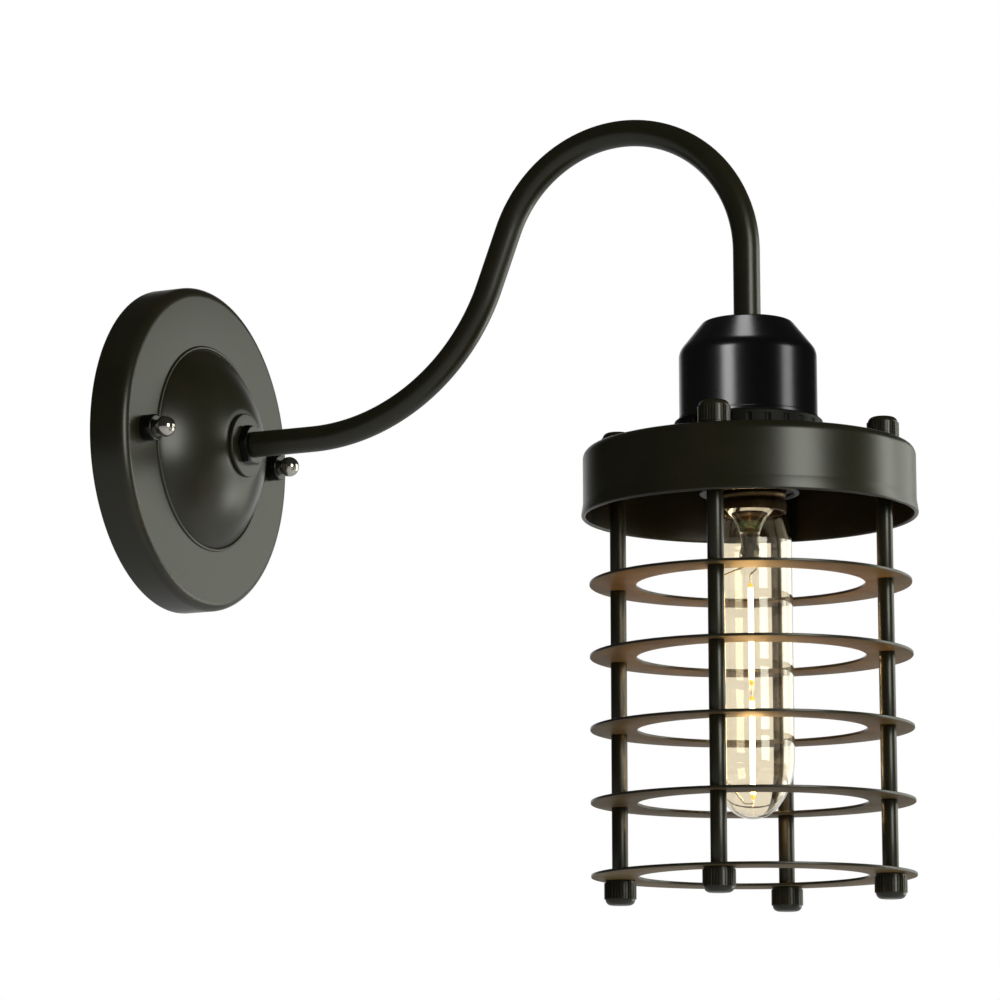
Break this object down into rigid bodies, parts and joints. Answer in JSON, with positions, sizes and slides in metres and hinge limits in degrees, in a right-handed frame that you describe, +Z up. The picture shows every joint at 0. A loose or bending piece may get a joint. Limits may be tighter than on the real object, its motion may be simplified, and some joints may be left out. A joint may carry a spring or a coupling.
{
  "type": "wall light with gooseneck arm and ring cage",
  "caption": "Wall light: a round domed canopy carries a gooseneck tube with a lamp cup, a shallow shade dish, a cage of flat rings on rods and a long clear bulb.",
  "frame": {"origin": "centre of the wall bracket, between its two screw slots, on the wall plane", "axes": "+X to the right along the two canopy screws, seen from the room; +Y into the wall; +Z up. The arm lies in the plane x = 0 and the lamp axis points straight down at y = -0.238"},
  "size_m": [0.1244, 0.2985, 0.2892],
  "materials": {
    "olive_black_paint": "satin dark olive bronze paint",
    "gloss_black": "smooth black enamel",
    "black_phenolic": "moulded black phenolic",
    "black_rubber": "black rubber",
    "zinc_plate": "bright zinc plate",
    "nickel_plate": "polished nickel plate",
    "brass": "plain drawn brass",
    "porcelain": "white glazed porcelain",
    "brown_insulation": "brown wire insulation",
    "blue_insulation": "blue wire insulation",
    "green_insulation": "green and yellow wire insulation",
    "clear_glass": "clear glass, faintly warm",
    "black_glass": "opaque black insulating glass",
    "circuit_board": "green circuit board",
    "filament": "yellow coated light stick"
  },
  "bodies": {
    "fixture": {"wall_bracket": "zinc_plate", "bracket_studs": "zinc_plate", "stud_lock_nuts": "zinc_plate", "terminal_block": "porcelain", "terminal_inserts": "brass", "terminal_screws": "zinc_plate", "block_screw": "zinc_plate", "earth_tag": "brass", "earth_screw": "zinc_plate", "canopy": "olive_black_paint", "stud_sleeves": "gloss_black", "ball_nuts": "nickel_plate", "boss_washer": "olive_black_paint", "arm_outer_nut": "gloss_black", "arm_lock_washer": "zinc_plate", "arm_inner_nut": "zinc_plate", "arm_tube": "olive_black_paint", "tube_bushes": "black_rubber", "live_wire": "brown_insulation", "neutral_wire": "blue_insulation", "earth_wire": "green_insulation", "cup_nut": "gloss_black", "lamp_cup": "gloss_black", "holder_cap": "black_phenolic", "holder_core": "porcelain", "holder_terminals": "brass", "holder_screws": "zinc_plate", "holder_skirt": "black_phenolic", "screw_shell": "brass", "centre_contact": "brass", "upper_shade_ring": "black_phenolic", "lower_shade_ring": "black_phenolic", "shade_dish": "olive_black_paint", "tie_rods": "zinc_plate", "long_spacers": "olive_black_paint", "short_spacers": "olive_black_paint", "cage_ring_1": "olive_black_paint", "cage_ring_2": "olive_black_paint", "cage_ring_3": "olive_black_paint", "cage_ring_4": "olive_black_paint", "cage_ring_5": "olive_black_paint", "top_knurled_nuts": "olive_black_paint", "bottom_knurled_nuts": "olive_black_paint"},
    "bulb": {"bulb_cap": "brass", "cap_insulator": "black_glass", "cap_contact": "nickel_plate", "driver_board": "circuit_board", "bulb_glass": "clear_glass", "bulb_stem": "clear_glass", "bulb_wires": "nickel_plate", "filaments": "filament"}
  },
  "joints": [
    {"name": "bulb_withdraw", "type": "slide", "parent": "fixture", "child": "bulb", "axis": [0, 0, -1], "range_m": [0, 0.18]}
  ]
}
